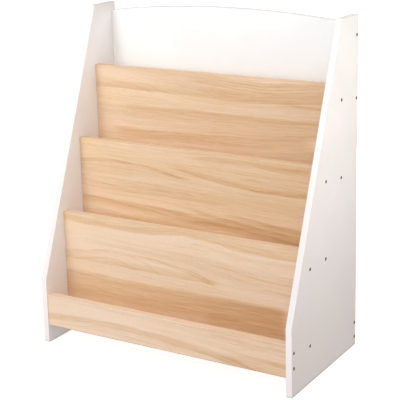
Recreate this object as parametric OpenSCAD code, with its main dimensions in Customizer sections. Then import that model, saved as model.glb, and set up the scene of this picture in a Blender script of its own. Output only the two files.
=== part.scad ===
// Kids bookcase with four face-out book pockets.
// Two side panels carry a header, three display boards, a front lip and a rear stretcher.
// Each board stands one pocket in front of the last, and a level floor closes the pocket between them.
// X runs across the bookcase, the front faces -Y and Z is up. The origin is on the floor, below the centre.

/* [Overall] */
// Width over both side panels
overall_w = 680; // [480:1:1000]
// Height of the side panels
side_h = 800; // [730:1:1000]
// Thickness of the side panels
side_t = 15; // [12:1:22]
// Thickness of the upright boards and the pocket floors
board_t = 15; // [12:1:22]

/* [Side panels] */
// Depth of a side panel at its top
top_depth = 88; // [70:1:140]
// Height at which the upright front edge turns into the sloped one
kink_z = 162; // [130:1:220]
// How far the side panels stand in front of the front lip
front_margin = 3; // [0:0.5:12]

/* [Pockets] */
// Clear depth of each book pocket, front to rear
pocket_d = 66; // [56:1:90]
// Height of the toe gap under the front lip
toe_h = 45; // [20:1:80]
// Height of a pocket's front edge above the underside of its floor
pocket_lip_h = 81; // [60:1:110]

/* [Upright boards] */
// Height of the lower display board
lower_board_h = 271; // [220:1:290]
// Height of the middle display board
middle_board_h = 250; // [200:1:270]
// Height of the top display board
top_board_h = 250; // [200:1:270]
// How far the ends of the header's arch lie below the top of the side panels
header_drop = 20; // [5:1:40]
// How far the header's arch rises in the middle
header_rise = 20; // [5:1:30]
// Height of the rear stretcher
stretcher_h = 81; // [60:1:120]

/* [Screw places] */
// From the ends of the arch down to the header's upper screws
header_top_inset = 27; // [15:1:40]
// From an edge of the header, top or middle board to its screws
board_inset = 35; // [20:1:60]
// From an edge of the lower display board to its screws
lower_board_inset = 45; // [20:1:60]
// From an edge of the front lip to its screws
lip_inset = 22.5; // [15:0.5:26]
// From an edge of the rear stretcher to its screws
stretcher_inset = 22.5; // [15:0.5:26]
// From an end of a pocket floor to its outermost screw
floor_fixing_inset = 60; // [50:1:120]

/* [Screws] */
// Length of a screw
screw_len = 50; // [40:1:54]
// Diameter of a screw's shank
shank_d = 5; // [4:0.1:5.5]
// Diameter of a screw's head
head_d = 8; // [7:0.1:9]
// Height of a screw's head, rim and countersink together
head_h = 3; // [2:0.1:4]
// Height of the straight rim of a screw's head
rim_h = 0.6; // [0.3:0.1:1]
// Height of a screw's pointed tip
tip_h = 4; // [2:0.5:6]
// Width across the flats of a screw's hexagon socket
socket_w = 4; // [2.5:0.5:4.5]
// Depth of a screw's hexagon socket
socket_h = 2.4; // [1:0.1:3.5]
// How far a screw's head lies below the face that it is driven into
head_recess = 0.2; // [0:0.1:0.5]

/* [Dowels] */
// Diameter of a dowel
dowel_d = 8; // [6:0.5:9]
// Length of a dowel
dowel_len = 30; // [24:1:36]
// How far a dowel reaches into the upright board
dowel_in_board = 10; // [7:0.5:11]
// Chamfer at a dowel's ends
dowel_chamfer = 1; // [0.5:0.1:2]

/* [Fits] */
// Clearance all round a screw or dowel in its bore
bore_gap = 0.1; // [0.05:0.05:0.2]
// Free length at the blind end of a bore
bore_end_gap = 0.5; // [0.2:0.1:1]

/* [Hidden] */
// Facets round a screw, a dowel and their bores
round_facets = 32;
// Sides of a screw's hexagon socket
hex_sides = 6;
// Facets of the full circle that the header's arch is part of
arch_facets = 1440;
// Length by which a cutting shape passes a face
cut_over = 1;
// Colours, red, green and blue
white_board = [0.95, 0.95, 0.94];
oak_board = [0.88, 0.76, 0.60];
dark_steel = [0.33, 0.33, 0.35];
beech_dowel = [0.80, 0.64, 0.44];

// Clear width between the side panels
inner_w = overall_w - 2 * side_t;
// From one upright board to the next
pitch = board_t + pocket_d;
// Number of each upright board's plane, counted from the rear
header_index = 0;
top_index = 1;
middle_index = 2;
lower_index = 3;
lip_index = 4;
// Depth of a side panel at the floor, which is the depth of the bookcase
base_depth = lip_index * pitch + board_t + front_margin;
rear_y = base_depth / 2;
front_y = -base_depth / 2;

// Underside of each upright board. A board starts level with the floor of the pocket in front of it.
lower_z = toe_h;
middle_z = lower_z + lower_board_h - pocket_lip_h;
top_z = middle_z + middle_board_h - pocket_lip_h;
header_z = top_z + top_board_h - pocket_lip_h;
header_end_z = side_h - header_drop;
board_z = [header_z, top_z, middle_z, lower_z, toe_h];
board_h = [header_end_z - header_z, top_board_h, middle_board_h, lower_board_h, pocket_lip_h];

// Heights of the two side screws of each upright board
side_screw_z = [
    [header_z + board_inset, header_end_z - header_top_inset],
    [for (z = [board_inset, top_board_h - board_inset]) top_z + z],
    [for (z = [board_inset, middle_board_h - board_inset]) middle_z + z],
    [for (z = [lower_board_inset, lower_board_h - lower_board_inset]) lower_z + z],
    [for (z = [lip_inset, pocket_lip_h - lip_inset]) toe_h + z]
];
stretcher_screw_z = [stretcher_inset, stretcher_h - stretcher_inset];

// Places of the screws and dowels along a pocket floor
floor_screw_span = inner_w / 2 - floor_fixing_inset;
floor_screw_x = [for (step = [-1 : 1]) step * floor_screw_span];
floor_dowel_x = [for (step = [-3 : 2 : 3]) step * floor_screw_span / 4];

// Rear and front faces of the upright board in a plane, and the middle of its thickness
function plane_rear(plane) = rear_y - plane * pitch;
function plane_front(plane) = plane_rear(plane) - board_t;
function plane_middle(plane) = plane_rear(plane) - board_t / 2;
// Height of the fixings of the pocket floor in front of the board in a plane
function floor_fixing_z(plane) = board_z[plane] + board_t / 2;

// Solid turned about Z from a list of [radius, height] points, which starts and ends on the axis
module turned(profile) {
    rotate_extrude($fn = round_facets) polygon(profile);
}

// Turns what is drawn along +Z so that it runs from the left side panel's outer face towards +X
module from_left_face(y, z) {
    translate([-overall_w / 2, y, z]) rotate([0, 90, 0]) children();
}

// Repeats the screws of the left side panel on the right one
module on_both_sides() {
    children();
    mirror([1, 0, 0]) children();
}

// Turns what is drawn along +Z so that it runs from the rear face of a board towards -Y
module from_rear_face(plane, x) {
    translate([x, plane_rear(plane), floor_fixing_z(plane)]) rotate([90, 0, 0]) children();
}

// Turns a dowel along +Z so that its low end lies in the board in front of the floor of a plane
module from_front_board(plane, x) {
    translate([x, plane_rear(plane + 1) - dowel_in_board, floor_fixing_z(plane)])
        rotate([-90, 0, 0]) children();
}

// Countersunk screw for board edges: flat head, hexagon socket, plain shank
module screw() {
    translate([0, 0, head_recess]) difference() {
        turned([
            [0, 0],
            [head_d / 2, 0],
            [head_d / 2, rim_h],
            [shank_d / 2, head_h],
            [shank_d / 2, screw_len - tip_h],
            [shank_d / 4, screw_len],
            [0, screw_len]
        ]);
        translate([0, 0, -cut_over])
            cylinder(d = socket_w / cos(180 / hex_sides), h = socket_h + cut_over, $fn = hex_sides);
    }
}

// Space that a screw needs, with its countersink open to the face it is driven into
module screw_bore() {
    bore_r = shank_d / 2 + bore_gap;
    sink_r = head_d / 2 + bore_gap;
    turned([
        [0, -cut_over],
        [sink_r, -cut_over],
        [sink_r, head_recess + rim_h],
        [bore_r, head_recess + head_h],
        [bore_r, head_recess + screw_len + bore_end_gap],
        [0, head_recess + screw_len + bore_end_gap]
    ]);
}

// Plain wooden dowel with chamfered ends
module dowel() {
    dowel_r = dowel_d / 2;
    turned([
        [0, 0],
        [dowel_r - dowel_chamfer, 0],
        [dowel_r, dowel_chamfer],
        [dowel_r, dowel_len - dowel_chamfer],
        [dowel_r - dowel_chamfer, dowel_len],
        [0, dowel_len]
    ]);
}

// Space that a dowel needs in both of its boards
module dowel_bore() {
    translate([0, 0, -bore_end_gap])
        cylinder(d = dowel_d + 2 * bore_gap, h = dowel_len + 2 * bore_end_gap, $fn = round_facets);
}

// What is drawn as a child, at the two side screws of the left end of a board
module at_left_end(plane, heights) {
    for (z = heights) from_left_face(plane_middle(plane), z) children();
}

// What is drawn as a child, at every side screw of the left side panel
module at_left_panel_screws() {
    for (plane = [header_index : lip_index]) at_left_end(plane, side_screw_z[plane]) children();
    at_left_end(header_index, stretcher_screw_z) children();
}

// Bores for the screws that hold a floor to the board behind it
module floor_screw_bores(plane) {
    for (x = floor_screw_x) from_rear_face(plane, x) screw_bore();
}

// Bores for the dowels that hold a floor to the board in front of it
module floor_dowel_bores(plane) {
    for (x = floor_dowel_x) from_front_board(plane, x) dowel_bore();
}

// Plain board between the side panels, in one of the upright planes
module upright_blank(plane, z, h) {
    translate([-inner_w / 2, plane_front(plane), z]) cube([inner_w, board_t, h]);
}

// Upright board of a plane, with all its bores
module upright_board(plane) {
    difference() {
        upright_blank(plane, board_z[plane], board_h[plane]);
        on_both_sides() at_left_end(plane, side_screw_z[plane]) screw_bore();
        if (plane < lip_index) floor_screw_bores(plane);
        if (plane > header_index) floor_dowel_bores(plane - 1);
    }
}

// Level floor of the pocket in front of the board in a plane
module pocket_floor(plane) {
    difference() {
        translate([-inner_w / 2, plane_rear(plane + 1), board_z[plane]])
            cube([inner_w, pocket_d, board_t]);
        floor_screw_bores(plane);
        floor_dowel_bores(plane);
    }
}

// Outline of a side panel in the YZ plane, extruded across the bookcase
module side_blank() {
    rotate([90, 0, 90]) linear_extrude(height = side_t) polygon([
        [rear_y, 0],
        [rear_y, side_h],
        [rear_y - top_depth, side_h],
        [front_y, kink_z],
        [front_y, 0]
    ]);
}

module left_side_panel() {
    color(white_board) difference() {
        translate([-overall_w / 2, 0, 0]) side_blank();
        at_left_panel_screws() screw_bore();
    }
}

module right_side_panel() {
    color(white_board) mirror([1, 0, 0]) difference() {
        translate([-overall_w / 2, 0, 0]) side_blank();
        at_left_panel_screws() screw_bore();
    }
}

// Solid below the header's arched top edge, a little thicker than the header on both faces
module under_arch() {
    arch_r = (pow(inner_w / 2, 2) + pow(header_rise, 2)) / (2 * header_rise);
    translate([0, rear_y + cut_over, header_end_z + header_rise - arch_r])
        rotate([90, 0, 0]) cylinder(r = arch_r, h = board_t + 2 * cut_over, $fn = arch_facets);
}

module header_panel() {
    color(white_board) difference() {
        intersection() {
            upright_blank(header_index, header_z, header_end_z + header_rise + cut_over - header_z);
            under_arch();
        }
        on_both_sides() at_left_end(header_index, side_screw_z[header_index]) screw_bore();
        floor_screw_bores(header_index);
    }
}

module top_display_board() {
    color(oak_board) upright_board(top_index);
}

module middle_display_board() {
    color(oak_board) upright_board(middle_index);
}

module lower_display_board() {
    color(oak_board) upright_board(lower_index);
}

module front_lip_board() {
    color(oak_board) upright_board(lip_index);
}

module rear_stretcher() {
    color(white_board) difference() {
        upright_blank(header_index, 0, stretcher_h);
        on_both_sides() at_left_end(header_index, stretcher_screw_z) screw_bore();
    }
}

// The four side screws of the board in a plane
module side_screws(plane, heights) {
    color(dark_steel) on_both_sides() at_left_end(plane, heights) screw();
}

// The screws that hold a pocket floor to the board behind it
module floor_screws(plane) {
    color(dark_steel) for (x = floor_screw_x) from_rear_face(plane, x) screw();
}

// The dowels that hold a pocket floor to the board in front of it
module floor_dowels(plane) {
    color(beech_dowel) for (x = floor_dowel_x) from_front_board(plane, x) dowel();
}

left_side_panel();
right_side_panel();
header_panel();
top_display_board();
middle_display_board();
lower_display_board();
front_lip_board();
rear_stretcher();
color(oak_board) pocket_floor(header_index);  // top_pocket_floor
color(oak_board) pocket_floor(top_index);  // second_pocket_floor
color(oak_board) pocket_floor(middle_index);  // third_pocket_floor
color(oak_board) pocket_floor(lower_index);  // front_pocket_floor
side_screws(header_index, side_screw_z[header_index]);  // header_screws
side_screws(top_index, side_screw_z[top_index]);  // top_board_screws
side_screws(middle_index, side_screw_z[middle_index]);  // middle_board_screws
side_screws(lower_index, side_screw_z[lower_index]);  // lower_board_screws
side_screws(lip_index, side_screw_z[lip_index]);  // front_lip_screws
side_screws(header_index, stretcher_screw_z);  // rear_stretcher_screws
floor_screws(header_index);  // top_floor_screws
floor_screws(top_index);  // second_floor_screws
floor_screws(middle_index);  // third_floor_screws
floor_screws(lower_index);  // front_floor_screws
floor_dowels(header_index);  // top_floor_dowels
floor_dowels(top_index);  // second_floor_dowels
floor_dowels(middle_index);  // third_floor_dowels
floor_dowels(lower_index);  // front_floor_dowels
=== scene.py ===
"""Looks of the kids bookcase: white melamine panels, light oak grain boards and dark screw heads.

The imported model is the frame. Metres, X across, front towards -Y, Z up.
"""
import math

import bpy
from mathutils import Matrix, Vector


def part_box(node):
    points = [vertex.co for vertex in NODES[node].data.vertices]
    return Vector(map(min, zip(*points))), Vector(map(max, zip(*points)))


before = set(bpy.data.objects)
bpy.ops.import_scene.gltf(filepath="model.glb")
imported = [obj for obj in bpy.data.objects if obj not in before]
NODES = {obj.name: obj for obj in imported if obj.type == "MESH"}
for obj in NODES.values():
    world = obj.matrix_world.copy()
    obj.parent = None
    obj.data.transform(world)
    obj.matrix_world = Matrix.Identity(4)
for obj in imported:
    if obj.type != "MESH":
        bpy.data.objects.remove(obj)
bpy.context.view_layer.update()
MM = 0.001

# In mm: length of the boards between the side panels, and the most that a line may lie below a board's top
BOARD_LENGTH = 650
DEEPEST_LINE = 200

# Depth of the fine relief printed into both laminates
RELIEF = 0.08 * MM

# Outline of the white boards, as the model has it
PANEL_FRONT_Y = -0.171
PANEL_REAR_Y = 0.171
PANEL_TOP_FRONT_Y = 0.083
PANEL_TOP_Z = 0.800
PANEL_KINK_Z = 0.162
HEADER_HALF_SPAN = 0.325
HEADER_RISE = 0.020
STRETCHER_TOP_Z = 0.081

# Camera: where it stands, how it is turned, and its lens
CAMERA_AZIMUTH = 32.251
CAMERA_ELEVATION = 14.877
CAMERA_ROLL = -1.725
CAMERA_PLACE = (1.4443, -2.3757, 1.1917)
CAMERA_LENS_MM = 110.16
CAMERA_SHIFT = (0.065, -0.09)


def add_camera():
    """Camera at the photograph's viewing angle."""
    azimuth, elevation, roll = (math.radians(v) for v in (CAMERA_AZIMUTH, CAMERA_ELEVATION, CAMERA_ROLL))
    back = Vector((
        math.sin(azimuth) * math.cos(elevation),
        -math.cos(azimuth) * math.cos(elevation),
        math.sin(elevation),
    ))
    level_right = Vector((0, 0, 1)).cross(back).normalized()
    level_up = back.cross(level_right)
    right = math.cos(roll) * level_right + math.sin(roll) * level_up
    up = -math.sin(roll) * level_right + math.cos(roll) * level_up
    data = bpy.data.cameras.new("camera")
    data.lens = CAMERA_LENS_MM
    data.shift_x, data.shift_y = CAMERA_SHIFT
    camera = bpy.data.objects.new("camera", data)
    turn = Matrix((right, up, back)).transposed()
    camera.matrix_world = Matrix.Translation(CAMERA_PLACE) @ turn.to_4x4()
    bpy.context.scene.collection.objects.link(camera)
    bpy.context.scene.camera = camera


class Graph:
    """Short way to build a material's node tree."""

    def __init__(self, name):
        self.material = bpy.data.materials.new(name)
        self.material.use_nodes = True
        self.tree = self.material.node_tree
        self.tree.nodes.clear()

    def node(self, kind, **values):
        made = self.tree.nodes.new(kind)
        for key, value in values.items():
            setattr(made, key, value)
        return made

    def put(self, value, socket):
        """Links a socket or sets a plain value."""
        if isinstance(value, bpy.types.NodeSocket):
            self.tree.links.new(value, socket)
        else:
            socket.default_value = value

    def put_all(self, values, sockets):
        for value, socket in zip(values, sockets):
            self.put(value, socket)

    def math(self, operation, a, b=0.0, clamp=False):
        made = self.node("ShaderNodeMath", operation=operation, use_clamp=clamp)
        self.put_all((a, b), made.inputs)
        return made.outputs[0]

    def add(self, a, b):
        return self.math("ADD", a, b)

    def minus(self, a, b):
        return self.math("SUBTRACT", a, b)

    def times(self, a, b):
        return self.math("MULTIPLY", a, b)

    def least(self, values):
        """Smallest of some values."""
        result = values[0]
        for value in values[1:]:
            result = self.math("MINIMUM", result, value)
        return result

    def held(self, value):
        """Value held between 0 and 1."""
        return self.math("MINIMUM", self.math("MAXIMUM", value, 0.0), 1.0)

    def in_mm(self, metres):
        return self.times(metres, 1000)

    def ramp(self, kind, *values):
        """Map of a value from one range onto another, held at both ends."""
        made = self.node("ShaderNodeMapRange", interpolation_type=kind)
        self.put_all(values, made.inputs)
        return made.outputs[0]

    def smooth(self, value, low, high, out_low=0.0, out_high=1.0):
        """Smooth step from out_low at low to out_high at high."""
        return self.ramp("SMOOTHSTEP", value, low, high, out_low, out_high)

    def span(self, value, low, high, out_low=0.0, out_high=1.0):
        """Straight ramp from out_low at low to out_high at high."""
        return self.ramp("LINEAR", value, low, high, out_low, out_high)

    def place(self):
        """Point on the object, in the row frame, and its separate X, Y and Z."""
        coordinates = self.node("ShaderNodeTexCoord")
        split = self.node("ShaderNodeSeparateXYZ")
        self.put(coordinates.outputs["Object"], split.inputs[0])
        return coordinates.outputs["Object"], *split.outputs

    def join(self, x, y, z):
        made = self.node("ShaderNodeCombineXYZ")
        self.put_all((x, y, z), made.inputs)
        return made.outputs[0]

    def noise(self, vector, scale, detail):
        made = self.node("ShaderNodeTexNoise", noise_dimensions="3D")
        self.put(vector, made.inputs["Vector"])
        self.put(scale, made.inputs["Scale"])
        self.put(detail, made.inputs["Detail"])
        return made.outputs[0]

    def mix(self, factor, a, b):
        """Mixes two colours."""
        made = self.node("ShaderNodeMix", data_type="RGBA")
        self.put(factor, made.inputs[0])
        self.put_all((a, b), made.inputs[6:8])
        return made.outputs[2]

    def bump(self, height, distance):
        """Normal from a height of 0 to 1 that stands for a distance in metres."""
        made = self.node("ShaderNodeBump")
        self.put(distance, made.inputs["Distance"])
        self.put(height, made.inputs["Height"])
        return made.outputs[0]

    def surface(self, **inputs):
        """Principled shader with the named inputs, linked to the material's output."""
        shader = self.node("ShaderNodeBsdfPrincipled")
        for key, value in inputs.items():
            self.put(value, shader.inputs[key.replace("_", " ")])
        output = self.node("ShaderNodeOutputMaterial")
        self.put(shader.outputs[0], output.inputs["Surface"])
        return self.material


def srgb(red, green, blue):
    """Colour from display values of 0 to 255, as linear light."""
    def linear(value):
        value /= 255
        return value / 12.92 if value <= 0.04045 else ((value + 0.055) / 1.055) ** 2.4
    return (linear(red), linear(green), linear(blue), 1.0)


def edge_band(g, inset):
    """Edge band, 1 mm thick, and the fine line where it meets the face. Inset is in mm."""
    band = g.smooth(inset, 0.95, 1.1, 1.0, 0.0)
    joint = g.times(g.smooth(inset, 0.75, 0.95), g.smooth(inset, 1.05, 1.3, 1.0, 0.0))
    return band, joint


def side_panel_inset(g, x, y, z):
    """How far a point lies inside the side panel's outline, in mm."""
    run = PANEL_TOP_FRONT_Y - PANEL_FRONT_Y
    rise = PANEL_TOP_Z - PANEL_KINK_Z
    slope = math.hypot(run, rise)
    across = g.times(g.minus(y, PANEL_FRONT_Y), rise / slope)
    up = g.times(g.minus(z, PANEL_KINK_Z), -run / slope)
    insets = (
        g.minus(y, PANEL_FRONT_Y),
        g.minus(PANEL_REAR_Y, y),
        g.minus(PANEL_TOP_Z, z),
        g.add(across, up),
        z,
    )
    return g.in_mm(g.least(insets))


def header_inset(g, x, y, z):
    """How far a point lies below the header's arched edge, in mm."""
    half = HEADER_HALF_SPAN
    radius = (half ** 2 + HEADER_RISE ** 2) / (2 * HEADER_RISE)
    deep = g.add(z, radius - PANEL_TOP_Z)
    reach = g.math("SQRT", g.add(g.times(x, x), g.times(deep, deep)))
    return g.in_mm(g.minus(radius, reach))


def stretcher_inset(g, x, y, z):
    """How far a point lies inside the stretcher's top and bottom edges, in mm."""
    return g.in_mm(g.least((z, g.minus(STRETCHER_TOP_Z, z))))


def white_melamine(name, inset, dim=(245, 240, 236), bright=(249, 244, 240)):
    """Satin white melamine with faint cloudiness, very fine orange peel and a slightly greyer edge band.

    Low down the face is painted warmer and darker, as shade. The edge band is partly its own grey and partly
    painted shade; it is painted darker high up, as shade on the top faces, and is a little lighter low down.
    The last 10 mm are painted darker, as contact shadow at the floor.
    """
    g = Graph(name)
    point, x, y, z = g.place()
    cloud = g.noise(point, 9.0, detail=3.0)
    speck = g.noise(point, 900.0, detail=2.0)
    peel = g.noise(point, 1400.0, detail=1.0)
    band, joint = edge_band(g, inset(g, x, y, z))
    face = g.mix(g.span(cloud, 0.3, 0.7), srgb(*dim), srgb(*bright))
    # Painted warm shade: the face turns warmer and a little darker towards the floor
    face = g.mix(g.smooth(z, 0.05, 0.45, 0.6, 0.0), face, srgb(242, 232, 225))
    # The edge band is greyer than the face, partly its own colour and partly painted shade; it is painted
    # darker high up, as shade on the top faces, and lighter low down
    edge = g.mix(g.smooth(z, 0.1, 0.35, 1.0, 0.0), srgb(233, 226, 221), srgb(239, 230, 225))
    colour = g.mix(band, face, edge)
    colour = g.mix(g.span(speck, 0.62, 0.75, 0.0, 0.25), colour, srgb(226, 224, 221))
    # Painted contact shadow: the last 10 mm above the floor are darker
    colour = g.mix(g.smooth(z, 0.0, 10 * MM, 0.3, 0.0), colour, srgb(176, 172, 166))
    return g.surface(
        Base_Color=g.mix(g.times(joint, 0.35), colour, srgb(176, 172, 168)),
        Roughness=g.span(cloud, 0.3, 0.7, 0.40, 0.48),
        Normal=g.bump(g.minus(g.times(peel, 0.2), joint), RELIEF),
    )


# Grain figures of the boards that show, with some bands of painted pocket shade on the middle and lower
# boards, in mm: along from the left end, down from the top edge.
# Each is a curved line with a band that fades out above and below it, darker than the board, or lighter
# where its depth is negative. It runs from end to end of the board unless it has a start or an end.
TOP_FIGURES = (
    dict(line=((0, 53), (65, 53), (150, 54), (225, 54), (300, 57), (430, 59), (525, 55), (650, 44)),
         above=28, below=4, depth=0.27),
    dict(line=((0, 58), (525, 59), (600, 62), (650, 63)), above=9, below=4, depth=0.22, start=530),
    dict(line=((0, 38), (115, 48), (165, 58), (650, 80)),
         above=7, below=3, depth=0.18, start=110, end=175),
    dict(line=((0, 95), (200, 97), (430, 97), (650, 95)), above=8, below=34, depth=0.24, start=90),
    dict(line=((0, 16), (330, 24), (450, 33), (540, 29), (650, 16)),
         above=2, below=3, depth=0.19, start=280),
    dict(line=((0, 10), (330, 18), (450, 26), (540, 22), (650, 11)),
         above=2, below=3, depth=0.18, start=300),
    dict(line=((0, 5), (330, 12), (450, 19), (540, 15), (650, 5)),
         above=2, below=3, depth=0.16, start=320, end=640),
    dict(line=((0, 1), (330, 6), (450, 12), (540, 9), (650, 1)),
         above=2, below=3, depth=0.16, start=330, end=640),
    dict(line=((0, 150), (150, 154), (300, 151), (450, 143), (650, 124)),
         above=4, below=50, depth=0.27, start=60, end=590),
    dict(line=((0, 150), (500, 137), (650, 122)), above=4, below=16, depth=0.25, start=590),
    dict(line=((0, 20), (650, 20)), above=16, below=16, depth=-0.08, end=270),
    dict(line=((0, 143), (300, 141), (500, 133), (650, 118)), above=2, below=5, depth=0.16, start=300),
)
MIDDLE_FIGURES_AND_SHADE = (
    dict(line=((0, 17), (75, 16), (150, 20), (650, 30)), above=2, below=5, depth=0.18, end=165),
    dict(line=((0, 14), (350, 12), (450, 10), (550, 14), (650, 12)),
         above=3, below=18, depth=0.26, start=330, end=640),
    dict(line=((0, 54), (60, 47), (130, 48), (200, 52), (260, 63), (310, 69), (650, 90)),
         above=3, below=12, depth=0.29, end=320),
    dict(line=((0, 40), (270, 50), (330, 59), (400, 69), (470, 76), (560, 79), (650, 77)),
         above=16, below=4, depth=0.34, start=275),
    dict(line=((0, 52), (475, 51), (560, 53), (650, 52)), above=2, below=5, depth=0.18, start=460),
    dict(line=((0, 108), (120, 110), (300, 107), (650, 112)),
         above=3, below=8, depth=0.13, start=20, end=330),
    dict(line=((0, 118), (120, 122), (300, 119), (650, 123)), above=3, below=9, depth=0.14, end=420),
    dict(line=((0, 88), (650, 88)), above=9, below=9, depth=-0.13, end=270),
    dict(line=((0, 149), (60, 149), (140, 152), (230, 155), (300, 160), (400, 170), (650, 196)),
         above=6, below=22, depth=0.34),
    dict(line=((0, 130), (300, 139), (370, 150), (450, 160), (520, 168), (650, 180)),
         above=3, below=20, depth=0.32, start=320),
    dict(line=((0, 130), (400, 140), (480, 148), (560, 156), (650, 160)),
         above=3, below=16, depth=0.24, start=420),
    # Painted shade of the pocket, low on the board above the lower board's top edge
    dict(line=((0, 200), (250, 186), (450, 164), (650, 164)), above=16, below=40, depth=0.18),
)
LOWER_FIGURES_AND_SHADE = (
    dict(line=((0, 16), (100, 20), (200, 21), (280, 16), (350, 11), (430, 16),
                (480, 22), (520, 25), (650, 26)),
         above=36, below=10, depth=0.33),
    dict(line=((0, 100), (75, 89), (125, 83), (200, 83), (330, 92), (390, 104), (430, 119), (650, 125)),
         above=3, below=11, depth=0.26, end=428),
    dict(line=((0, 118), (200, 118), (430, 119), (650, 121)), above=24, below=3, depth=0.24, end=436),
    dict(line=((0, 116), (75, 108), (150, 101), (215, 117), (650, 140)),
         above=2, below=6, depth=0.16, start=40, end=222),
    dict(line=((0, 75), (190, 86), (240, 99), (275, 117), (650, 140)),
         above=2, below=6, depth=0.14, start=180, end=282),
    dict(line=((0, 80), (275, 88), (330, 96), (375, 108), (428, 121), (650, 130)),
         above=2, below=7, depth=0.18, start=280, end=430),
    dict(line=((0, 66), (440, 73), (520, 84), (650, 91)),
         above=2, below=6, depth=0.14, start=420, end=640),
    dict(line=((0, 78), (430, 86), (500, 97), (575, 108), (650, 112)),
         above=2, below=6, depth=0.14, start=425),
    # These three bands are painted shade of the pocket, low on the board above the lip's top edge
    dict(line=((0, 156), (150, 158), (300, 159), (430, 158), (650, 156)),
         above=18, below=90, depth=0.45, end=612),
    dict(line=((0, 200), (200, 198), (330, 186), (450, 176), (650, 174)),
         above=28, below=60, depth=0.18, end=620),
    dict(line=((0, 200), (650, 200)), above=3, below=60, depth=0.16, start=400, end=615),
    dict(line=((0, 190), (650, 190)), above=8, below=10, depth=-0.08, start=470, end=610),
)
LIP_FIGURES = (
    dict(line=((0, 56), (75, 52), (150, 50), (300, 50), (400, 56), (500, 68), (570, 80), (650, 94)),
         above=17, below=16, depth=0.27, end=600),
    dict(line=((0, 80), (450, 66), (520, 58), (650, 54)), above=10, below=40, depth=0.22, start=490),
    dict(line=((0, 2), (390, 7), (450, 5), (650, 6)), above=2, below=5, depth=0.19, start=380),
    dict(line=((0, 12), (480, 15), (560, 19), (650, 20)), above=2, below=6, depth=0.19, start=470),
    dict(line=((0, 50), (350, 60), (450, 66), (520, 76), (650, 90)),
         above=2, below=6, depth=0.14, start=330, end=530),
    dict(line=((0, 70), (100, 66), (250, 68), (350, 74), (650, 90)),
         above=2, below=6, depth=0.14, start=30, end=360),
    dict(line=((0, 72), (520, 74), (650, 74)), above=14, below=20, depth=0.16, start=590),
)


# Lines that the fine grain runs along, in mm as above, from the top of the board to its bottom
TOP_GUIDES = (
    ((0, 1), (330, 6), (450, 12), (540, 9), (650, 1)),
    ((0, 27), (65, 30), (150, 37), (225, 47), (300, 57), (430, 59), (525, 52), (650, 28)),
    ((0, 90), (200, 93), (430, 92), (650, 91)),
    ((0, 150), (150, 154), (300, 151), (450, 145), (650, 124)),
)
MIDDLE_GUIDES = (
    ((0, 15), (75, 16), (150, 18), (350, 12), (450, 10), (550, 14), (650, 12)),
    ((0, 54), (60, 47), (130, 48), (200, 52), (310, 64), (400, 71), (470, 77), (560, 80), (650, 78)),
    ((0, 118), (120, 122), (300, 119), (650, 123)),
    ((0, 147), (60, 146), (140, 152), (300, 163), (450, 166), (650, 176)),
)
LOWER_GUIDES = (
    ((0, 15), (100, 21), (200, 22), (280, 14), (350, 6), (430, 7), (480, 20), (520, 23), (650, 24)),
    ((0, 72), (75, 66), (200, 70), (330, 80), (430, 88), (520, 96), (650, 98)),
    ((0, 105), (75, 97), (150, 95), (275, 104), (375, 112), (430, 120), (650, 126)),
    ((0, 152), (150, 156), (300, 157), (430, 152), (650, 148)),
)
LIP_GUIDES = (
    ((0, 2), (390, 7), (450, 5), (650, 6)),
    ((0, 60), (75, 51), (150, 46), (300, 48), (400, 55), (500, 69), (570, 80), (650, 86)),
)


def height_curve(g, along, line):
    """Height of a line on a board, in mm, from its points."""
    curve = g.node("ShaderNodeFloatCurve")
    points = curve.mapping.curves[0].points
    shares = [(across / BOARD_LENGTH, height / DEEPEST_LINE) for across, height in line]
    points[0].location = shares[0]
    points[1].location = shares[-1]
    for share in shares[1:-1]:
        points.new(*share)
    curve.mapping.update()
    g.put(g.times(along, 1 / BOARD_LENGTH), curve.inputs["Value"])
    return g.times(curve.outputs[0], DEEPEST_LINE)


def grain_flow(g, along, down, guides):
    """Grain height in mm, which stays the same all along each guide line."""
    heights = [height_curve(g, along, line) for line in guides]
    rests = [sum(height for _, height in line) / len(line) for line in guides]
    flow = g.add(g.math("MINIMUM", g.minus(down, heights[0]), 0.0), rests[0])
    for place in range(len(guides) - 1):
        below = g.minus(down, heights[place])
        gap = g.minus(heights[place + 1], heights[place])
        share = g.math("DIVIDE", below, gap, clamp=True)
        flow = g.add(flow, g.times(share, rests[place + 1] - rests[place]))
    return g.add(flow, g.math("MAXIMUM", g.minus(down, heights[-1]), 0.0))


def figure_and_shade_band(g, along, down, fibrous, line, above, below, depth, start=0, end=BOARD_LENGTH):
    """Darkness of one band, of grain or of painted shade. Narrow bands break up into fibres, and wide ones
    stay soft.
    """
    narrow = above + below < 20
    break_up = 0.9 if narrow else 0.35
    depth = g.times(g.add(g.times(fibrous, break_up), 1.0 - break_up), depth)
    under = g.minus(down, height_curve(g, along, line))
    top_fade = g.smooth(under, -above, 0.0)
    low_fade = g.smooth(under, 0.0, below, 1.0, 0.0)
    left_fade = g.smooth(along, start - 30, start + 30) if start > 0 else 1.0
    right_fade = g.smooth(along, end - 25, end + 12, 1.0, 0.0) if end < BOARD_LENGTH else 1.0
    ends = g.times(left_fade, right_fade)
    return g.times(g.times(top_fade, low_fade), g.times(ends, depth))


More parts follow.
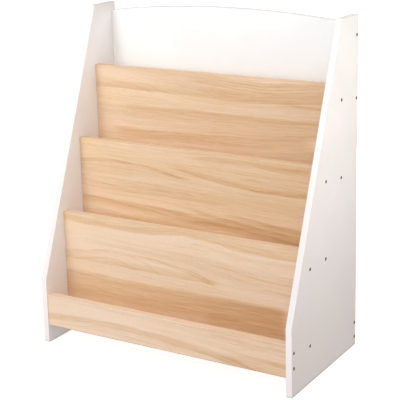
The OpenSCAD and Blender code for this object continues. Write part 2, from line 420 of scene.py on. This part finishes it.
def oak_laminate(board, seed, pinkness, tone_start, figures_and_shade=(), guides=()):
    """Light oak grain melamine, with the grain running across the bookcase."""
    low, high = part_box(board)
    g = Graph("oak_" + board)
    _, x, y, z = g.place()
    along = g.in_mm(g.minus(x, low[0]))
    drop = g.in_mm(g.minus(high[2], z))
    rise = g.in_mm(g.minus(z, low[2]))
    recess = g.in_mm(g.minus(y, low[1]))
    # Depth counts as well as height, so that the grain runs across level faces too
    down = g.minus(drop, g.times(recess, 0.6))

    def stretched(per_mm_along, height, per_mm_down, shift, detail):
        point = g.join(g.times(along, per_mm_along), g.times(height, per_mm_down), seed + shift)
        return g.noise(point, 1.0, detail=detail)

    sway = stretched(0.0035, down, 0.018, 0, 1.0)
    ripple = stretched(0.022, down, 0.11, 0, 3.0)
    swing = 6 if guides else 14
    flow = grain_flow(g, along, down, guides) if guides else down
    grain = g.add(flow, g.add(g.span(sway, 0.0, 1.0, -swing, swing), g.span(ripple, 0.0, 1.0, -2.5, 2.5)))
    # Noise that is stretched along the grain, from broad to fine
    broad = stretched(0.0012, grain, 0.045, 0, 1.0)
    streak = stretched(0.0035, grain, 0.16, 0, 1.0)
    vein = stretched(0.010, grain, 0.42, 0, 1.0)
    thread = stretched(0.022, grain, 1.0, 0, 1.0)
    fibre = stretched(0.05, grain, 2.6, 0, 2.0)
    # Tone, from the light colour at 0 to the dark one at 1
    # Painted falloff of light: the tone rises by 0.26 from the left end of the board to the right end
    tone = g.span(along, 0, BOARD_LENGTH, tone_start, tone_start + 0.26)
    tone = g.add(tone, g.span(broad, 0.25, 0.75, 0.0, 0.34))
    for band, share in ((streak, 0.12), (vein, 0.19), (thread, 0.23), (fibre, 0.16)):
        tone = g.add(tone, g.span(band, 0.25, 0.75, -share / 2, share / 2))
    fibrous = g.add(g.span(vein, 0.3, 0.7, 0.2, 0.8), g.span(thread, 0.3, 0.7, 0.15, 0.85))
    lined = g.add(down, g.span(ripple, 0.0, 1.0, -2.5, 2.5))
    darker = 0.0
    for dark_band in figures_and_shade:
        darker = g.add(darker, figure_and_shade_band(g, along, lined, fibrous, **dark_band))
    tone = g.add(tone, darker)
    # The edge band has the same grain, only calmer. It is also darker, partly its own colour and partly
    # painted shade on the boards' top faces
    band, joint = edge_band(g, g.least((drop, rise)))
    tone = g.held(g.add(g.times(tone, g.span(band, 0.0, 1.0, 1.0, 0.3)), g.times(band, 0.22)))
    patch = stretched(0.004, down, 0.02, 3, 1.0)
    pink = g.span(patch, 0.3, 0.7, pinkness - 0.25, pinkness + 0.25)
    pink = g.held(g.add(pink, g.times(darker, -1.3)))
    light = g.mix(pink, srgb(233, 201, 162), srgb(236, 208, 182))
    # Painted shade, partly the band's own colour: the edge band is mixed a little towards black
    shade = g.mix(g.times(band, 0.13), g.mix(tone, light, srgb(190, 137, 86)), srgb(0, 0, 0))
    pore = stretched(0.07, grain, 2.6, 7, 1.0)
    colour = g.mix(g.span(pore, 0.60, 0.72, 0.0, 0.28), shade, srgb(168, 120, 78))
    # Painted shade along the lowest 3 mm of each board, greyer and darker
    colour = g.mix(g.smooth(rise, 0.5, 3.0, 0.4, 0.0), colour, srgb(160, 146, 130))
    return g.surface(
        Base_Color=g.mix(g.times(joint, 0.35), colour, srgb(150, 108, 74)),
        Roughness=g.span(tone, 0.0, 1.0, 0.50, 0.42),
        Normal=g.bump(g.minus(g.times(g.minus(fibre, pore), 0.5), joint), RELIEF),
    )


def dark_screw_steel():
    """Dark plated steel with faint turning marks."""
    g = Graph("dark_screw_steel")
    point, _, _, _ = g.place()
    mark = g.noise(point, 700.0, detail=2.0)
    return g.surface(
        Base_Color=g.mix(mark, srgb(66, 62, 60), srgb(98, 92, 88)),
        Metallic=0.7,
        Roughness=g.span(mark, 0.3, 0.7, 0.38, 0.52),
    )


def raw_beech():
    """Raw turned beech with short pale rays."""
    g = Graph("raw_beech")
    _, x, y, z = g.place()
    ray = g.noise(g.join(g.times(x, 900.0), g.times(y, 120.0), g.times(z, 900.0)), 1.0, detail=2.0)
    return g.surface(
        Base_Color=g.mix(ray, srgb(196, 154, 110), srgb(222, 186, 142)),
        Roughness=0.6,
        Normal=g.bump(ray, 0.05 * MM),
    )


def dress(node, material):
    """Gives a CAD node its material."""
    mesh = NODES[node].data
    mesh.materials.clear()
    mesh.materials.append(material)


def edge_marker():
    """Geometry nodes that join split corners and mark the long sharp edges for the bevel."""
    tree = bpy.data.node_groups.new("mark_long_edges", "GeometryNodeTree")
    tree.interface.new_socket("Geometry", in_out="INPUT", socket_type="NodeSocketGeometry")
    tree.interface.new_socket("Geometry", in_out="OUTPUT", socket_type="NodeSocketGeometry")

    def node(kind, **values):
        made = tree.nodes.new(kind)
        for key, value in values.items():
            setattr(made, key, value)
        return made

    sharp_from = math.radians(30)
    long_from = 2 * MM
    start = node("NodeGroupInput")
    end = node("NodeGroupOutput")
    join = node("GeometryNodeMergeByDistance")
    join.inputs["Distance"].default_value = 0.001 * MM
    bare = node("GeometryNodeRemoveAttribute")
    bare.inputs["Name"].default_value = "custom_normal"
    angle = node("GeometryNodeInputMeshEdgeAngle")
    sharp = node("FunctionNodeCompare", data_type="FLOAT", operation="GREATER_THAN")
    sharp.inputs["B"].default_value = sharp_from
    ends = node("GeometryNodeInputMeshEdgeVertices")
    length = node("ShaderNodeVectorMath", operation="DISTANCE")
    long = node("FunctionNodeCompare", data_type="FLOAT", operation="GREATER_THAN")
    long.inputs["B"].default_value = long_from
    both = node("FunctionNodeBooleanMath", operation="AND")
    smooth = node("GeometryNodeSetShadeSmooth", domain="FACE")
    crease = node("GeometryNodeSetShadeSmooth", domain="EDGE")
    crease.inputs["Shade Smooth"].default_value = False
    mark = node("GeometryNodeStoreNamedAttribute", data_type="FLOAT", domain="EDGE")
    mark.inputs["Name"].default_value = "bevel_weight_edge"
    for source, target in (
        (start.outputs[0], join.inputs["Geometry"]),
        (join.outputs[0], bare.inputs["Geometry"]),
        (bare.outputs[0], smooth.inputs["Geometry"]),
        (smooth.outputs[0], crease.inputs["Geometry"]),
        (crease.outputs[0], mark.inputs["Geometry"]),
        (mark.outputs[0], end.inputs[0]),
        (angle.outputs["Unsigned Angle"], sharp.inputs["A"]),
        (sharp.outputs[0], crease.inputs["Selection"]),
        (ends.outputs["Position 1"], length.inputs[0]),
        (ends.outputs["Position 2"], length.inputs[1]),
        (length.outputs["Value"], long.inputs["A"]),
        (sharp.outputs[0], both.inputs[0]),
        (long.outputs[0], both.inputs[1]),
        (both.outputs[0], mark.inputs["Value"]),
    ):
        tree.links.new(source, target)
    return tree


def ease_edges(node, marker, width):
    """Rounds a board's long edges a little."""
    piece = NODES[node]
    piece.modifiers.new("edge_marks", "NODES").node_group = marker
    flat = piece.modifiers.new("flat_faces", "DECIMATE")
    flat.decimate_type = "DISSOLVE"
    flat.angle_limit = math.radians(0.02)
    bevel = piece.modifiers.new("eased_edges", "BEVEL")
    bevel.width = width
    bevel.segments = 3
    bevel.limit_method = "WEIGHT"
    bevel.harden_normals = True


def add_studio(material):
    """Pale floor that runs up into a pale backdrop all round, which is no part of the bookcase."""
    ring_sides = 48
    profile = ((0.0, 0.0), (9.0, 0.0), (12.0, 0.6), (14.0, 2.6), (14.0, 9.0), (9.0, 13.0), (0.0, 14.5))
    points = []
    for radius, height in profile:
        for step in range(ring_sides):
            turn = 2 * math.pi * step / ring_sides
            points.append((radius * math.cos(turn), radius * math.sin(turn), height))
    faces = []
    for ring in range(len(profile) - 1):
        for step in range(ring_sides):
            after = (step + 1) % ring_sides
            first = ring * ring_sides
            faces.append((first + step, first + after, first + ring_sides + after, first + ring_sides + step))
    mesh = bpy.data.meshes.new("studio_floor")
    mesh.from_pydata(points, [], faces)
    mesh.materials.append(material)
    piece = bpy.data.objects.new("studio_floor", mesh)
    # It stops and throws back no light, so the light from below reaches the bookcase through it
    piece.visible_diffuse = False
    piece.visible_glossy = False
    piece.visible_shadow = False
    bpy.context.scene.collection.objects.link(piece)


def floor_material():
    """Pale ground that shines by itself, so that it stays nearly white where shadows fall."""
    g = Graph("studio_floor")
    return g.surface(
        Base_Color=(0.5, 0.5, 0.5, 1.0),
        Roughness=0.9,
        Emission_Color=(1.0, 1.0, 1.0, 1.0),
        Emission_Strength=0.78,
    )


def add_area_light(name, place, target, size, power, colour=(1.0, 1.0, 1.0), spread=180):
    """Soft lamp, aimed at a target and hidden from the camera. Its spread is in degrees."""
    data = bpy.data.lights.new(name, "AREA")
    data.shape = "RECTANGLE"
    data.size, data.size_y = size
    data.energy = power
    data.color = colour
    data.spread = math.radians(spread)
    light = bpy.data.objects.new(name, data)
    light.location = place
    light.rotation_mode = "QUATERNION"
    light.rotation_quaternion = (Vector(target) - Vector(place)).to_track_quat("-Z", "Y")
    light.visible_camera = False
    bpy.context.scene.collection.objects.link(light)


def add_world(lobes):
    """Soft studio light from all round: one broad lobe of light for each direction and colour."""
    world = bpy.data.worlds.new("studio")
    world.use_nodes = True
    tree = world.node_tree

    def node(kind, operation, first, second):
        made = tree.nodes.new(kind)
        made.operation = operation
        for value, socket in ((first, made.inputs[0]), (second, made.inputs[1])):
            if isinstance(value, bpy.types.NodeSocket):
                tree.links.new(value, socket)
            else:
                socket.default_value = value
        return made.outputs

    direction = tree.nodes.new("ShaderNodeTexCoord").outputs["Generated"]
    total = None
    for axis, colour in lobes:
        facing = node("ShaderNodeVectorMath", "DOT_PRODUCT", direction, axis)["Value"]
        lit = node("ShaderNodeMath", "MAXIMUM", facing, 0.0)[0]
        broad = node("ShaderNodeMath", "POWER", lit, 2.0)[0]
        tinted = node("ShaderNodeVectorMath", "MULTIPLY", broad, colour)[0]
        total = node("ShaderNodeVectorMath", "ADD", total, tinted)[0] if total else tinted
    tree.links.new(total, tree.nodes["Background"].inputs[0])
    bpy.context.scene.world = world


def light_studio():
    """Soft light from above, below and the front, and five lamps."""
    add_world((
        ((0, 0, 1), (0.60, 0.56, 0.535)),
        ((0, 0, -1), (1.72, 1.58, 1.58)),
        ((0, -0.707, 0.707), (1.64, 1.71, 1.83)),
    ))
    add_area_light("key", (-0.48, -1.05, 0.95), (0, 0, 0.42), (0.4, 0.4), 4.5, (0.94, 1.0, 1.0))
    add_area_light("fill", (0.9, 0.6, 1.6), (0.3, 0, 0.5), (0.5, 0.5), 5.3, (0.95, 1.0, 1.0))
    add_area_light("side", (0.95, -0.1, 0.71), (0.3, 0, 0.56), (0.5, 0.5), 2.55, (1.0, 0.98, 0.94))
    add_area_light("rear", (-0.45, 2.0, 0.36), (0, 0, 0.45), (0.9, 0.6), 30.0)
    # Stands in for the light that white ground throws back under the lip, onto the left side panel's foot
    add_area_light(
        "toe", (0.29, 0.09, 0.015), (-0.325, -0.14, 0.005), (0.05, 0.02), 0.016, (0.6, 0.8, 1.0), spread=30)


def dress_fixings():
    """Steel for the screws and beech for the dowels."""
    steel = dark_screw_steel()
    beech = raw_beech()
    for node in NODES:
        if node.endswith("screws"):
            dress(node, steel)
        elif node.endswith("dowels"):
            dress(node, beech)


def dress_white_boards(marker):
    sides = white_melamine("white_melamine_sides", side_panel_inset)
    header = white_melamine("white_melamine_header", header_inset, (244, 242, 238), (248, 246, 242))
    stretcher = white_melamine("white_melamine_stretcher", stretcher_inset)
    for board, material in (
        ("left_side_panel", sides),
        ("right_side_panel", sides),
        ("header_panel", header),
        ("rear_stretcher", stretcher),
    ):
        dress(board, material)
        ease_edges(board, marker, 0.8 * MM)


def dress_oak_boards(marker):
    """Oak grain for the other boards. A seed of its own gives each board its own grain."""
    plain = dict(pinkness=0.5, tone_start=-0.1)
    looks = {
        "top_display_board": dict(pinkness=0.35, tone_start=-0.08, figures_and_shade=TOP_FIGURES, guides=TOP_GUIDES),
        "middle_display_board": dict(
            pinkness=0.20, tone_start=-0.06, figures_and_shade=MIDDLE_FIGURES_AND_SHADE, guides=MIDDLE_GUIDES),
        "lower_display_board": dict(
            pinkness=0.58, tone_start=-0.23, figures_and_shade=LOWER_FIGURES_AND_SHADE, guides=LOWER_GUIDES),
        "front_lip_board": dict(pinkness=0.80, tone_start=-0.26, figures_and_shade=LIP_FIGURES, guides=LIP_GUIDES),
        "top_pocket_floor": plain,
        "second_pocket_floor": plain,
        "third_pocket_floor": plain,
        "front_pocket_floor": plain,
    }
    for number, (board, look) in enumerate(looks.items()):
        dress(board, oak_laminate(board, 13.7 * (number + 1), **look))
        ease_edges(board, marker, 0.6 * MM)


add_camera()
bpy.context.scene.view_settings.view_transform = "Standard"
light_studio()
add_studio(floor_material())
dress_fixings()
MARKER = edge_marker()
dress_white_boards(MARKER)
dress_oak_boards(MARKER)
